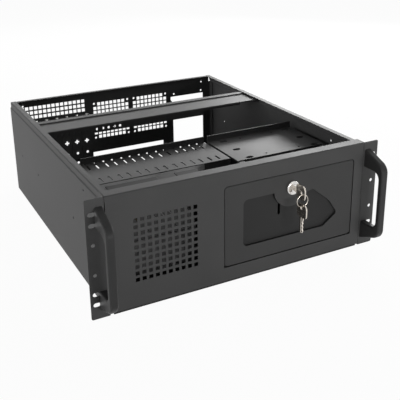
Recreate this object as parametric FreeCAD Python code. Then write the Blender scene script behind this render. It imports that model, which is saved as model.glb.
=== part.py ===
import FreeCAD, Part
import math
import os

# Empty 4U rackmount case with its lid off: folded sheet steel, one solid per physical piece.
# Millimetres, +Z up, +X to the right seen from the front, +Y towards the rear.
# Pieces are drawn with y = 0 on the front face; export moves them so that the origin lies
# under the middle of the bounding box, at the level the case stands on.

# ---- driving dimensions -------------------------------------------------------------------
SHEET = 1.2                    # steel sheet of every folded part
BEND = 0.6                     # inside radius of a fold
BODY_WIDTH = 430.0
EAR_SPAN = 482.6               # 19 inch rack front
PANEL_HEIGHT = 177.0           # four rack units less the usual 0.8
DEPTH = 508.0                  # 20 inches behind the front face
LID_DROP = 1.0                 # the body's rim lies this much below the front panel's
HANDLE_REACH = 42.5

HALF_BODY = BODY_WIDTH / 2
INNER = HALF_BODY - SHEET      # inner face of the side walls
RIM = PANEL_HEIGHT - LID_DROP
FLANGE_DEPTH = 18.5            # front panel's top flange
MID_Z = PANEL_HEIGHT / 2
FIT = 0.4                      # gap each side between panels that slide together
ORIGIN_Y = (DEPTH - HANDLE_REACH) / 2

# ---- helpers ------------------------------------------------------------------------------
V = FreeCAD.Vector
AXES = {"xy": V(0, 0, 1), "xz": V(0, 1, 0), "yz": V(1, 0, 0)}


def at(u, v, plane, level):
    """Point (u, v) of a sketch on the named plane, at that plane's level."""
    if plane == "xy":
        return V(u, v, level)
    if plane == "xz":
        return V(u, level, v)
    return V(level, u, v)


def unit(a, b):
    length = math.hypot(b[0] - a[0], b[1] - a[1])
    return ((b[0] - a[0]) / length, (b[1] - a[1]) / length)


def outline(points, radii, plane, level):
    """Closed wire through the points, each corner rounded by its own radius (0 is sharp)."""
    corners = []
    for i, corner in enumerate(points):
        back = unit(corner, points[i - 1])
        ahead = unit(corner, points[(i + 1) % len(points)])
        cosine = max(-1.0, min(1.0, back[0] * ahead[0] + back[1] * ahead[1]))
        half = math.acos(cosine) / 2
        if radii[i] == 0 or math.pi / 2 - half < 1e-6:
            corners.append([corner])
            continue
        setback = radii[i] / math.tan(half)
        start = (corner[0] + back[0] * setback, corner[1] + back[1] * setback)
        end = (corner[0] + ahead[0] * setback, corner[1] + ahead[1] * setback)
        bisector = unit((0, 0), (back[0] + ahead[0], back[1] + ahead[1]))
        sagitta = radii[i] / math.sin(half) - radii[i]
        middle = (corner[0] + bisector[0] * sagitta, corner[1] + bisector[1] * sagitta)
        corners.append([start, middle, end])
    edges = []
    for i, piece in enumerate(corners):
        spots = [at(p[0], p[1], plane, level) for p in piece]
        following = corners[(i + 1) % len(corners)][0]
        if len(spots) == 3:
            edges.append(Part.Arc(*spots).toShape())
        edges.append(Part.makeLine(spots[-1], at(following[0], following[1], plane, level)))
    return Part.Wire(edges)


def prism(points, radii, plane, start, end):
    """Extruded outline from level start to level end."""
    if not isinstance(radii, (list, tuple)):
        radii = [radii] * len(points)
    face = Part.Face(outline(points, radii, plane, start))
    return face.extrude(AXES[plane] * (end - start))


def folded(path, plane, start, end, thickness=SHEET, bend=BEND):
    """Sheet folded along an open path; the metal lies to the left of the path."""
    near, far = [], []
    for i, point in enumerate(path):
        into = unit(path[i - 1], point) if i else unit(point, path[1])
        out = unit(point, path[i + 1]) if i < len(path) - 1 else into
        turn = into[0] * out[1] - into[1] * out[0]
        spread = 1 + into[0] * out[0] + into[1] * out[1]
        shift = (-(into[1] + out[1]) / spread, (into[0] + out[0]) / spread)
        offset = (point[0] + shift[0] * thickness, point[1] + shift[1] * thickness)
        inside, outside = (0, 0) if abs(turn) < 1e-9 else (bend, bend + thickness)
        near.append((point, outside if turn > 0 else inside))
        far.append((offset, inside if turn > 0 else outside))
    loop = near + far[::-1]
    return prism([p for p, r in loop], [r for p, r in loop], plane, start, end)


def box(x0, x1, y0, y1, z0, z1):
    return Part.makeBox(x1 - x0, y1 - y0, z1 - z0, V(x0, y0, z0))


def rod(radius, start, end, x=None, y=None, z=None):
    """Cylinder along the axis whose coordinate is left out."""
    if x is None:
        return Part.makeCylinder(radius, end - start, V(start, y, z), V(1, 0, 0))
    if y is None:
        return Part.makeCylinder(radius, end - start, V(x, start, z), V(0, 1, 0))
    return Part.makeCylinder(radius, end - start, V(x, y, start), V(0, 0, 1))


def slot(centre_u, centre_v, length, width, plane, start, end, upright=False):
    """Cutter for a slot with round ends, lying along u, or along v if upright."""
    du, dv = (width / 2, length / 2) if upright else (length / 2, width / 2)
    points = rectangle(centre_u - du, centre_u + du, centre_v - dv, centre_v + dv)
    return prism(points, min(du, dv) * 0.999, plane, start, end)


def rectangle(u0, u1, v0, v1):
    return [(u0, v0), (u1, v0), (u1, v1), (u0, v1)]


def steps(centre, pitch, count):
    """Evenly spaced positions about a centre."""
    return [centre + pitch * (i - (count - 1) / 2) for i in range(count)]


def exported(node, shape):
    shape = shape.removeSplitter()
    shape.translate(V(0, -ORIGIN_Y, 0))
    shape.exportStep("parts/" + node + ".step")


os.makedirs("parts", exist_ok=True)

# ---- chassis tray: bottom, side walls, lid rim and rack ears, folded from one blank -------
STRIP = 11.0                   # upper strip of each side wall, stepped in for the lid
STEP_IN = 1.5
RIM_FLANGE = 8.5
EAR_HOLE_X = EAR_SPAN / 2 - 8.75    # rack standard
EAR_SLOTS = (66.675, 50.8)     # heights from the middle, rack standard
EAR_ROUNDS = 22.225
EAR_CORNER = 2.5
HANDLE_X = HALF_BODY + 7.5
FOOT_HIGH = MID_Z + 61.0
FOOT_LOW = MID_Z - 61.0
SCREW_RADIUS = 2.0
WALL_HOLES = ((83, 155), (142, MID_Z), (337, MID_Z), (444, MID_Z))
WALL_HOLE_RADIUS = 1.8


def side_wall(side):
    rim_inner = INNER - STEP_IN - RIM_FLANGE
    knee = RIM - STRIP
    path = [(HALF_BODY - 30, 0), (HALF_BODY, 0), (HALF_BODY, knee)]
    path += [(HALF_BODY - STEP_IN, knee + STEP_IN), (HALF_BODY - STEP_IN, RIM), (rim_inner, RIM)]
    wall = folded(path, "xz", FLANGE_DEPTH + FIT, DEPTH)
    front_wall = folded(path[:2] + [(HALF_BODY, PANEL_HEIGHT)], "xz", 0, FLANGE_DEPTH + FIT)
    ear_fold = [(INNER, FLANGE_DEPTH), (INNER, 0), (EAR_SPAN / 2, 0)]
    front_wall = front_wall.cut(box(HALF_BODY - 6, HALF_BODY, 0, 3, 0, PANEL_HEIGHT))
    ear = folded(ear_fold, "xy", 0, PANEL_HEIGHT)
    solid = wall.fuse([front_wall, ear])
    trim = []
    for height in EAR_SLOTS:
        for z in (MID_Z - height, MID_Z + height):
            trim.append(slot(EAR_HOLE_X, z, 10.0, 6.5, "xz", -1, 3))
    for z in (MID_Z - EAR_ROUNDS, MID_Z + EAR_ROUNDS):
        trim.append(rod(2.8, -1, 3, x=EAR_HOLE_X, z=z))
    for z in (FOOT_LOW, FOOT_HIGH):
        trim.append(rod(SCREW_RADIUS, -1, 3, x=HANDLE_X, z=z))
    for y, z in WALL_HOLES:
        trim.append(rod(WALL_HOLE_RADIUS, HALF_BODY - 4, HALF_BODY + 1, y=y, z=z))
    solid = solid.cut(trim)
    if side > 0:
        return solid
    return solid.mirror(V(0, 0, 0), V(1, 0, 0))


tray = box(-HALF_BODY + 29, HALF_BODY - 29, 0, DEPTH, 0, SHEET)
tray = tray.fuse([side_wall(1), side_wall(-1)])
front_shape = rectangle(-EAR_SPAN / 2, EAR_SPAN / 2, 0, PANEL_HEIGHT)
tray = tray.common(prism(front_shape, EAR_CORNER, "xz", 0, DEPTH))
exported("chassis_tray", tray)

# ---- rear panel ----------------------------------------------------------------------------
REAR = DEPTH - SHEET           # inner face of the rear panel
REAR_HALF = INNER - BEND
MESH_PITCH = 8.6
MESH_HOLE = 6.6
MESH_ROWS = 3
MESH_COLUMNS = 15
MESH_X = -133.4
MESH_Z = 149.2
FAN_X = (-14.5, 71.0)
FAN_Z = 113.5
FAN_HOLES = 9
FAN_SPACING = 71.5             # 80 mm fan
FAN_SCREW = 2.2
SLOT_PITCH = 20.32
SLOT_COUNT = 7
SLOT_LAST_X = -74.0
SLOT_MID_X = SLOT_LAST_X - SLOT_PITCH * (SLOT_COUNT - 1) / 2
FRAME_HALF = SLOT_PITCH * SLOT_COUNT / 2 + 2
LEDGE_Z = 131.0                # upper face of the ledge that the card brackets are screwed to
IO_LEFT = -59.0
IO_BOTTOM = 3.0
PSU_X = 154.0                  # middle of the upright power supply
PSU_Z = MID_Z - 12.0
PSU_SCREW = 2.0
PSU_SCREW_RISE = 69.0          # screw rows above and below the middle
TAB_NOTCH = 3.2                # room at the corners for the lid's tabs
LID_SCREW_X = INNER - 21.8
LID_SCREW_Z = RIM - 12.0
REAR_LIP = 14.0

rear_path = [(DEPTH - REAR_LIP, SHEET), (DEPTH, SHEET), (DEPTH, RIM), (DEPTH - 8, RIM)]
rear = folded(rear_path, "yz", -REAR_HALF, REAR_HALF)
for side in (-1, 1):
    x0, x1 = sorted((side * REAR_HALF, side * (REAR_HALF - SHEET)))
    rear = rear.fuse(box(x0, x1, DEPTH - REAR_LIP, DEPTH - 1, 4, RIM - STRIP - 4))
    x0, x1 = sorted((side * (REAR_HALF - TAB_NOTCH), side * HALF_BODY))
    rear = rear.cut(box(x0, x1, 0, DEPTH + 1, RIM - STRIP - 2, RIM + 1))
    x0, x1 = sorted((side * (REAR_HALF - STEP_IN - RIM_FLANGE), side * HALF_BODY))
    rear = rear.cut(box(x0, x1, 0, DEPTH + 1, RIM - SHEET, RIM + 1))

holes = []
for x in steps(MESH_X, MESH_PITCH, MESH_COLUMNS):
    for z in steps(MESH_Z, MESH_PITCH + 0.6, MESH_ROWS):
        holes.append((x, z))
for middle in FAN_X:
    columns = steps(middle, MESH_PITCH, FAN_HOLES)
    rows = steps(FAN_Z, MESH_PITCH, FAN_HOLES)
    for x in columns:
        for z in rows:
            corner = x in (columns[0], columns[-1]) and z in (rows[0], rows[-1])
            if not corner:
                holes.append((x, z))
cutters = []
for x, z in holes:
    half = MESH_HOLE / 2
    cutters.append(box(x - half, x + half, REAR - 1, DEPTH + 1, z - half, z + half))
for middle in FAN_X:
    for x in steps(middle, FAN_SPACING, 2):
        for z in steps(FAN_Z, FAN_SPACING, 2):
            cutters.append(rod(FAN_SCREW, REAR - 1, DEPTH + 1, x=x, z=z))
slot_window = rectangle(SLOT_MID_X - FRAME_HALF + SHEET, SLOT_MID_X + FRAME_HALF - SHEET, 12, LEDGE_Z)
cutters.append(prism(slot_window, 1.0, "xz", REAR - 1, DEPTH + 1))
io_window = rectangle(IO_LEFT, IO_LEFT + 158.75, IO_BOTTOM, IO_BOTTOM + 44.45)
cutters.append(prism(io_window, 1.0, "xz", REAR - 1, DEPTH + 1))
psu_shape = [(-30, -64), (29, -64), (42, -54), (42, 63.5), (-35, 63.5), (-35, 57), (-30, 50)]
psu_window = [(PSU_X + across, PSU_Z + rise) for across, rise in psu_shape]
cutters.append(prism(psu_window, 1.5, "xz", REAR - 1, DEPTH + 1))
PSU_UPPER = (-27.0, 37.0)
PSU_LOWER = (-37.0, 37.0)
for across in PSU_UPPER:
    cutters.append(rod(PSU_SCREW, REAR - 1, DEPTH + 1, x=PSU_X + across, z=PSU_Z + PSU_SCREW_RISE))
for across in PSU_LOWER:
    cutters.append(rod(PSU_SCREW, REAR - 1, DEPTH + 1, x=PSU_X + across, z=PSU_Z - PSU_SCREW_RISE))
for x in (-LID_SCREW_X, LID_SCREW_X):
    cutters.append(rod(1.8, REAR - 1, DEPTH + 1, x=x, z=LID_SCREW_Z))
rear = rear.cut(cutters)
exported("rear_panel", rear)

# ---- slot frame: the sunk wall that the seven slot covers close -----------------------------
SUNK = 12.0
SLOT_WALL = REAR - SUNK        # face that the covers lie against
SLOT_WIDTH = 12.0
COVER = 0.9
COVER_WIDTH = 18.4
COVER_FOOT = 9.0

frame_path = [(REAR, LEDGE_Z), (SLOT_WALL, LEDGE_Z), (SLOT_WALL, COVER_FOOT), (REAR, COVER_FOOT)]
frame_left = SLOT_MID_X - FRAME_HALF
frame_right = SLOT_MID_X + FRAME_HALF
slot_frame = folded(frame_path, "yz", frame_left, frame_right, bend=0)
for x in (frame_left, frame_right - SHEET):
    slot_frame = slot_frame.fuse(box(x, x + SHEET, SLOT_WALL, REAR, COVER_FOOT, LEDGE_Z))
slot_tools = []
slot_centres = steps(SLOT_MID_X, SLOT_PITCH, SLOT_COUNT)
for x in slot_centres:
    window = rectangle(x - SLOT_WIDTH / 2, x + SLOT_WIDTH / 2, 20, 122)
    slot_tools.append(prism(window, 1.0, "xz", SLOT_WALL - 1, SLOT_WALL + 2))
    slot_tools.append(rod(1.5, LEDGE_Z - 3, LEDGE_Z + 1, x=x + 5, y=SLOT_WALL + 6))
slot_frame = slot_frame.cut(slot_tools)
exported("slot_frame", slot_frame)

TAB = 11.0


def slot_cover(x):
    top = LEDGE_Z + COVER
    path = [(SLOT_WALL + TAB, top), (SLOT_WALL - COVER, top), (SLOT_WALL - COVER, 3.0)]
    cover = folded(path, "yz", x - COVER_WIDTH / 2, x + COVER_WIDTH / 2, COVER, 0)
    tools = []
    for side in (-1, 1):
        x0, x1 = sorted((x + side * COVER_WIDTH / 2, x + side * 5.1))
        tools.append(box(x0, x1, SLOT_WALL - 2, SLOT_WALL, 0, COVER_FOOT + 2))
    tools.append(slot(x, 80, 9.0, 3.0, "xz", SLOT_WALL - 2, SLOT_WALL + 1))
    tools.append(slot(x, 80, 9.0, 3.0, "xz", SLOT_WALL - 2, SLOT_WALL + 1, upright=True))
    for z in (56, 36):
        tools.append(rod(2.6, SLOT_WALL - 2, SLOT_WALL + 1, x=x, z=z))
    tools.append(rod(1.5, LEDGE_Z - 1, LEDGE_Z + 2, x=x + 5, y=SLOT_WALL + 6))
    return cover.cut(tools)


for number, x in enumerate(slot_centres, 1):
    exported("slot_cover_" + str(number), slot_cover(x))


def screw(head_radius, head, radius, length, place, direction):
    """Pan head with its shank: place is where the head meets the sheet."""
    shank = Part.makeCylinder(radius, length, place, direction)
    crown = Part.makeCylinder(head_radius, head, place, direction * -1)
    rim = [e for e in crown.Edges if e.BoundBox.DiagonalLength > head_radius]
    far = [e for e in rim if (e.CenterOfMass - place).dot(direction) < -head * 0.9 and e.Closed]
    crown = crown.makeChamfer(head * 0.3, far)
    return crown.fuse(shank)


screws = []
for x in slot_centres:
    spot = V(x + 5, SLOT_WALL + 6, LEDGE_Z + COVER)
    screws.append(screw(2.9, 2.0, 1.5, 5.0, spot, V(0, 0, -1)))
exported("slot_cover_screws", Part.makeCompound(screws))

# ---- front panel ---------------------------------------------------------------------------
PANEL_HALF = INNER - BEND
VENT_X = -127.0
VENT_PITCH = 10.0
VENT_HOLE = 6.2
VENT_COUNT = 10
DOOR = (-35.5, 195.5, 25.5, 152.5)     # left, right, bottom, top
DOOR_RADIUS = 6.0
DOOR_GAP = 0.8
DOOR_SILL = 1.1                # wider gap under the door, where it swings through
PANEL_SIDE = 14.0              # side flanges welded to the side walls
RETURN = 11.0                  # depth of the flange round the door opening
SWING_CORNER = 0.8             # its lower corners are tight, since the door swings through there
HINGE_Y = 4.2
HINGE_Z = DOOR[2] + 4.5
PIN_RADIUS = 1.5

panel_path = [(FLANGE_DEPTH, PANEL_HEIGHT), (0, PANEL_HEIGHT), (0, SHEET), (FLANGE_DEPTH - 7, SHEET)]
panel = folded(panel_path, "yz", -PANEL_HALF, PANEL_HALF)
for side in (-1, 1):
    x0, x1 = sorted((side * PANEL_HALF, side * (PANEL_HALF - SHEET)))
    panel = panel.fuse(box(x0, x1, BEND, PANEL_SIDE, 6, RIM - STRIP + 3))

opening = rectangle(DOOR[0] - DOOR_GAP, DOOR[1] + DOOR_GAP, DOOR[2] - DOOR_SILL, DOOR[3] + DOOR_GAP)
outer = rectangle(opening[0][0] - SHEET, opening[1][0] + SHEET, opening[0][1] - SHEET, opening[2][1] + SHEET)
opening_radius = DOOR_RADIUS + DOOR_GAP
inner_radii = [SWING_CORNER, SWING_CORNER, opening_radius, opening_radius]
outer_radii = [SWING_CORNER, SWING_CORNER, opening_radius + SHEET, opening_radius + SHEET]
panel = panel.fuse(prism(outer, outer_radii, "xz", 0.6, RETURN))
cutters = [prism(opening, inner_radii, "xz", -1, RETURN + 1)]
for x in steps(VENT_X, VENT_PITCH, VENT_COUNT):
    for z in steps(MID_Z, VENT_PITCH, VENT_COUNT):
        half = VENT_HOLE / 2
        cutters.append(box(x - half, x + half, -1, 2, z - half, z + half))
cutters.append(rod(PIN_RADIUS, opening[0][0] - 3, opening[1][0] + 3, y=HINGE_Y, z=HINGE_Z))
panel = panel.cut(cutters)
exported("front_panel", panel)

# ---- door ----------------------------------------------------------------------------------
DOOR_RETURN = 9.8
RECESS = 4.5
LOCK_X = 79.6
LOCK_Z = 130.0
ISLAND = 31.0                  # flush disc left round the lock
LOCK_BODY = 9.5
FLAT = 8.0                     # half the distance across the lock body's two flats

door_box = rectangle(DOOR[0], DOOR[1], DOOR[2], DOOR[3])
door = prism(door_box, DOOR_RADIUS, "xz", 0, DOOR_RETURN)
front_edges = []
for edge in door.Edges:
    bounds = edge.BoundBox
    if bounds.YMax < 0.01 and bounds.YMin > -0.01:
        front_edges.append(edge)
door = door.makeFillet(BEND + SHEET, front_edges)
hollow_box = rectangle(DOOR[0] + SHEET, DOOR[1] - SHEET, DOOR[2] + SHEET, DOOR[3] - SHEET)
door = door.cut(prism(hollow_box, DOOR_RADIUS - SHEET, "xz", SHEET, DOOR_RETURN + 1))


def lock_body(start, end):
    """Round body with two flats that keep the lock from turning in the door."""
    flats = box(LOCK_X - FLAT, LOCK_X + FLAT, start, end, LOCK_Z - 20, LOCK_Z + 20)
    return rod(LOCK_BODY, start, end, x=LOCK_X, z=LOCK_Z).common(flats)


def recess_face(grow, level):
    """Sunk field of the door: a banner shape bitten by the flush disc round the lock."""
    points = [(-4, 51), (-4, 126), (60, 126), (98, 114), (119, 119), (151, 93), (167, 69), (141, 51)]
    radii = [8, 8, 0, 0, 5, 30, 5, 6]
    points = points[::-1]
    radii = radii[::-1]
    face = Part.Face(outline(points, radii, "xz", level))
    if grow:
        face = Part.Face(face.OuterWire.makeOffset2D(grow, 0, False, False, True))
    disc = Part.Face(Part.Wire(Part.makeCircle(ISLAND - grow, V(LOCK_X, level, LOCK_Z), V(0, 1, 0))))
    return face.cut(disc).Faces[0]


pan = recess_face(SHEET, 0.5).extrude(V(0, RECESS + SHEET - 0.5, 0))
door = door.fuse(pan)
door = door.cut(recess_face(0, -1).extrude(V(0, RECESS + 1, 0)))
door = door.cut([lock_body(-1, 3), rod(PIN_RADIUS + 0.06, DOOR[0] - 1, DOOR[1] + 1, y=HINGE_Y, z=HINGE_Z)])
pull_slot = slot(60.5, 97.0, 19.0, 4.4, "xz", RECESS - 2, RECESS + SHEET + 1, upright=True)
door = door.cut(pull_slot)
exported("front_door", door)

pins = []
for side, face in ((-1, opening[0][0] - SHEET), (1, opening[1][0] + SHEET)):
    head = V(face, HINGE_Y, HINGE_Z)
    pins.append(screw(2.6, 1.2, PIN_RADIUS, 6.0, head, V(-side, 0, 0)))
exported("door_hinge_pins", Part.makeCompound(pins))

# ---- cam lock ------------------------------------------------------------------------------
BEZEL = 6.0                    # how far the lock stands out of the door
BARREL_END = 11.8
PLUG = 6.0
CAM = 2.0
CAM_LENGTH = 34.0
KEY = 2.2                      # key thickness
BLADE = 8.0
KEY_STOP = 9.0                 # how deep the blade goes

barrel = rod(11.0, -BEZEL, 0, x=LOCK_X, z=LOCK_Z)
rim = [e for e in barrel.Edges if e.Closed and abs(e.CenterOfMass.y + BEZEL) < 0.01]
barrel = barrel.makeChamfer(1.6, rim)
barrel = barrel.fuse(lock_body(0, BARREL_END))
barrel = barrel.cut(rod(PLUG + 0.05, -BEZEL - 1, BARREL_END + 1, x=LOCK_X, z=LOCK_Z))
exported("lock_barrel", barrel)

hexagon = []
for i in range(6):
    angle = math.radians(60 * i)
    hexagon.append((LOCK_X + 13.9 * math.cos(angle), LOCK_Z + 13.9 * math.sin(angle)))
nut = prism(hexagon, 0, "xz", SHEET, SHEET + 3.0)
exported("lock_nut", nut.cut(rod(LOCK_BODY, 0, 6, x=LOCK_X, z=LOCK_Z)))

plug = rod(PLUG, -BEZEL - 0.6, BARREL_END, x=LOCK_X, z=LOCK_Z)
keyway = box(LOCK_X - KEY / 2, LOCK_X + KEY / 2, -20, KEY_STOP, LOCK_Z - BLADE / 2, LOCK_Z + BLADE / 2)
stub = box(LOCK_X - 3, LOCK_X + 3, BARREL_END, BARREL_END + CAM, LOCK_Z - 3, LOCK_Z + 3)
plug = plug.cut(keyway).fuse(stub)
plug = plug.cut(rod(1.5, BARREL_END - 1, BARREL_END + 4, x=LOCK_X, z=LOCK_Z))
exported("lock_cylinder", plug)

cam_end = LOCK_X - CAM_LENGTH
cam_outline = [(LOCK_X + 9, LOCK_Z - 8), (LOCK_X + 9, LOCK_Z + 8)]
cam_outline += [(cam_end, LOCK_Z + 6), (cam_end, LOCK_Z - 6)]
cam = prism(cam_outline, 4.0, "xz", BARREL_END, BARREL_END + CAM).cut(stub)
exported("lock_cam", cam)
exported("cam_screw", screw(3.6, 2.2, 1.5, 3.0, V(LOCK_X, BARREL_END + CAM, LOCK_Z), V(0, -1, 0)))

# ---- keys ----------------------------------------------------------------------------------
BOW_Y = -28.0                  # eye of the inserted key
EYE = 3.0
RING = 9.6
WIRE = 0.85
HANG = 0.15                    # slack between ring and eye


def key_plate(points, radii, eye):
    plate = prism(points, radii, "yz", LOCK_X - KEY / 2, LOCK_X + KEY / 2)
    return plate.cut(rod(EYE, LOCK_X - 5, LOCK_X + 5, y=eye[0], z=eye[1]))


half_blade = BLADE / 2
key_points = [(KEY_STOP, LOCK_Z - half_blade), (KEY_STOP, LOCK_Z + half_blade)]
key_points += [(-13, LOCK_Z + half_blade), (-13, LOCK_Z + 11.5), (BOW_Y - 6.5, LOCK_Z + 11.5)]
key_points += [(BOW_Y - 6.5, LOCK_Z - 11.5), (-13, LOCK_Z - 11.5), (-13, LOCK_Z - half_blade)]
key = key_plate(key_points, [0, 0, 0, 5, 7, 7, 5, 0], (BOW_Y, LOCK_Z))
exported("lock_key", key)

ring_top = LOCK_Z - EYE + WIRE + HANG
ring_centre = ring_top - RING
ring_low = ring_centre - RING
wire_section = []
for i in range(8):
    angle = math.radians(45 * i + 22.5)
    wire_section.append((LOCK_X + RING + WIRE * math.cos(angle), BOW_Y + WIRE * math.sin(angle)))
section = Part.Face(outline(wire_section, [0] * 8, "xy", ring_centre))
ring = section.revolve(V(LOCK_X, BOW_Y, ring_centre), V(0, 1, 0), 360)
exported("key_ring", ring)

spare_eye = ring_low - EYE + WIRE + HANG
spare_top = spare_eye + 6.5
spare_neck = spare_top - 21.5
spare_tip = spare_neck - 25.0
spare_points = [(BOW_Y - half_blade, spare_tip + 3), (BOW_Y, spare_tip), (BOW_Y + half_blade, spare_tip + 3)]
spare_points += [(BOW_Y + half_blade, spare_neck), (BOW_Y + 11.5, spare_neck), (BOW_Y + 11.5, spare_top)]
spare_points += [(BOW_Y - 11.5, spare_top), (BOW_Y - 11.5, spare_neck), (BOW_Y - half_blade, spare_neck)]
spare = key_plate(spare_points, [0, 0, 0, 0, 5, 7, 7, 5, 0], (BOW_Y, spare_eye))
exported("spare_key", spare)

# ---- rack handles --------------------------------------------------------------------------
HANDLE_WIDTH = 12.0
BASE_HALF = 76.5
GRIP_HALF = 59.5
GAP_HALF = 47.0
GRIP = 9.0
GRIP_BEND = 18.0
GRIP_EDGE = 2.6


def handle(side):
    outer_points = [(0, MID_Z - BASE_HALF), (0, MID_Z + BASE_HALF)]
    outer_points += [(-HANDLE_REACH, MID_Z + GRIP_HALF), (-HANDLE_REACH, MID_Z - GRIP_HALF)]
    x0 = side * HANDLE_X - HANDLE_WIDTH / 2
    solid = prism(outer_points, [0, 0, GRIP_BEND, GRIP_BEND], "yz", x0, x0 + HANDLE_WIDTH)
    gap = [(1, MID_Z - GAP_HALF), (1, MID_Z + GAP_HALF)]
    gap += [(GRIP - HANDLE_REACH, MID_Z + GAP_HALF), (GRIP - HANDLE_REACH, MID_Z - GAP_HALF)]
    solid = solid.cut(prism(gap, [0, 0, 12, 12], "yz", x0 - 1, x0 + HANDLE_WIDTH + 1))
    soft = []
    for edge in solid.Edges:
        if edge.BoundBox.YMin < -5 and edge.BoundBox.XLength < 0.01:
            soft.append(edge)
    solid = solid.makeFillet(GRIP_EDGE, soft)
    for z in (FOOT_LOW, FOOT_HIGH):
        solid = solid.cut(rod(SCREW_RADIUS, -12, 1, x=side * HANDLE_X, z=z))
    return solid


exported("left_handle", handle(-1))
exported("right_handle", handle(1))

screws = []
for x in (-HANDLE_X, HANDLE_X):
    for z in (FOOT_LOW, FOOT_HIGH):
        screws.append(screw(3.8, 2.4, SCREW_RADIUS, 12.0, V(x, SHEET, z), V(0, -1, 0)))
exported("handle_screws", Part.makeCompound(screws))

# ---- crossbar ------------------------------------------------------------------------------
BAR_FRONT = 303.0
BAR_REAR = 363.0
BAR_STEP = 350.0
BAR_DROP = 2.0                 # the wide front part lies this much below the rear strip
BAR_LIP = 15.5                 # front lip, measured from the rear strip
BAR_TOP = RIM - SHEET
BAR_HALF = INNER - STEP_IN - BEND
bar_low = BAR_TOP - BAR_DROP
bar_path = [(BAR_REAR, BAR_TOP - 10), (BAR_REAR, BAR_TOP), (BAR_STEP, BAR_TOP)]
bar_path += [(BAR_STEP - BAR_DROP, bar_low), (BAR_FRONT, bar_low), (BAR_FRONT, BAR_TOP - BAR_LIP)]
bar = folded(bar_path, "yz", -BAR_HALF, BAR_HALF)
for side in (-1, 1):
    x0, x1 = sorted((side * BAR_HALF, side * (BAR_HALF - SHEET)))
    bar = bar.fuse(box(x0, x1, BAR_FRONT + 6, BAR_STEP - 6, bar_low - 7, bar_low - SHEET / 2))
bar_tools = [box(91, BAR_HALF - 3, BAR_FRONT - 1, BAR_FRONT + 2, BAR_TOP - 20, BAR_TOP - 7)]
bar_tools.append(box(169, BAR_HALF + 1, BAR_FRONT - 1, BAR_FRONT + 2, BAR_TOP - 20, bar_low - 1.9))
for x in steps(-130.5, 10.4, 12):
    bar_tools.append(rod(2.4, BAR_FRONT - 1, BAR_FRONT + 2, x=x, z=BAR_TOP - 9.5))
bar = bar.cut(bar_tools)
exported("crossbar", bar)

# ---- cage for upright hard drives ----------------------------------------------------------
CAGE_TOP = 150.0
CAGE_REAR = 191.0
LIP_TOP = 160.5
DRIVE_FRONT = 104.0
DRIVE_LEFT = -186.0
DRIVE_RIGHT = 34.5
DRIVE_FOOT = 14.0
DRIVE_PITCH = 30.1
DRIVE_COUNT = 7
DRIVE_MID = -79.2
DRIVE_PAIR = 14.2
DRIVE_SPACE = 102.6            # height for a drive standing on its edge
SLIT = 3.2
RELIEF = 4.0                   # small opening in the fold behind each rear slit


def lip(x0, x1):
    path = [(CAGE_REAR - 4, CAGE_TOP - SHEET), (CAGE_REAR, CAGE_TOP - SHEET), (CAGE_REAR, LIP_TOP)]
    return folded(path, "yz", x0, x1)


cage_path = [(DRIVE_LEFT + DRIVE_FOOT, SHEET), (DRIVE_LEFT, SHEET), (DRIVE_LEFT, CAGE_TOP)]
cage_path += [(DRIVE_RIGHT, CAGE_TOP), (DRIVE_RIGHT, SHEET), (DRIVE_RIGHT - DRIVE_FOOT, SHEET)]
cage_path.reverse()
cage = folded(cage_path, "xz", DRIVE_FRONT, CAGE_REAR)
cage = cage.fuse(lip(DRIVE_LEFT + 3, DRIVE_RIGHT - 3))
slits = []
for bay in steps(DRIVE_MID, DRIVE_PITCH, DRIVE_COUNT):
    for x in steps(bay, DRIVE_PAIR, 2):
        slits.append((x, CAGE_REAR - 18.3, 16.5))
        slits.append((x, DRIVE_FRONT + 14.0, 16.0))
cage_tools = []
for x, y, length in slits:
    x0 = x - SLIT / 2
    x1 = x + SLIT / 2
    cage_tools.append(box(x0, x1, y - length / 2, y + length / 2, CAGE_TOP - 4, CAGE_TOP + 1))
    if y > (DRIVE_FRONT + CAGE_REAR) / 2:
        cage_tools.append(box(x0, x1, CAGE_REAR - RELIEF, CAGE_REAR + 1, CAGE_TOP - 4, CAGE_TOP + 1))
cage = cage.cut(cage_tools)
exported("drive_cage", cage)

SHELF_TOP = CAGE_TOP - SHEET - DRIVE_SPACE
shelf_left = DRIVE_LEFT + SHEET
shelf_right = DRIVE_RIGHT - SHEET
shelf_path = [(shelf_left, SHELF_TOP - 12), (shelf_left, SHELF_TOP)]
shelf_path += [(shelf_right, SHELF_TOP), (shelf_right, SHELF_TOP - 12)]
shelf_path.reverse()
shelf = folded(shelf_path, "xz", DRIVE_FRONT, CAGE_REAR - 2)
shelf_tools = []
for x, y, length in slits:
    end = min(y + length / 2, CAGE_REAR - 6)
    shelf_tools.append(box(x - SLIT / 2, x + SLIT / 2, y - length / 2, end, SHELF_TOP - 4, SHELF_TOP + 1))
exported("drive_cage_shelf", shelf.cut(shelf_tools))

# ---- cage for three wide bays --------------------------------------------------------------
BAY_INNER = 148.4
BAY_X = 123.2
BAY_PITCH = 42.0
BAY_FRONT = 30.0
BAY_TOP_LEFT = 38.0
BAY_TOP_RIGHT = 205.0
BAY_TOP_FRONT = 88.0
BAY_FOOT = 14.0
BAY_LEFT = BAY_X - BAY_INNER / 2 - SHEET
BAY_RIGHT = BAY_X + BAY_INNER / 2 + SHEET
BAY_FLOOR = 22.4               # upper face of the floor under the lowest bay

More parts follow.
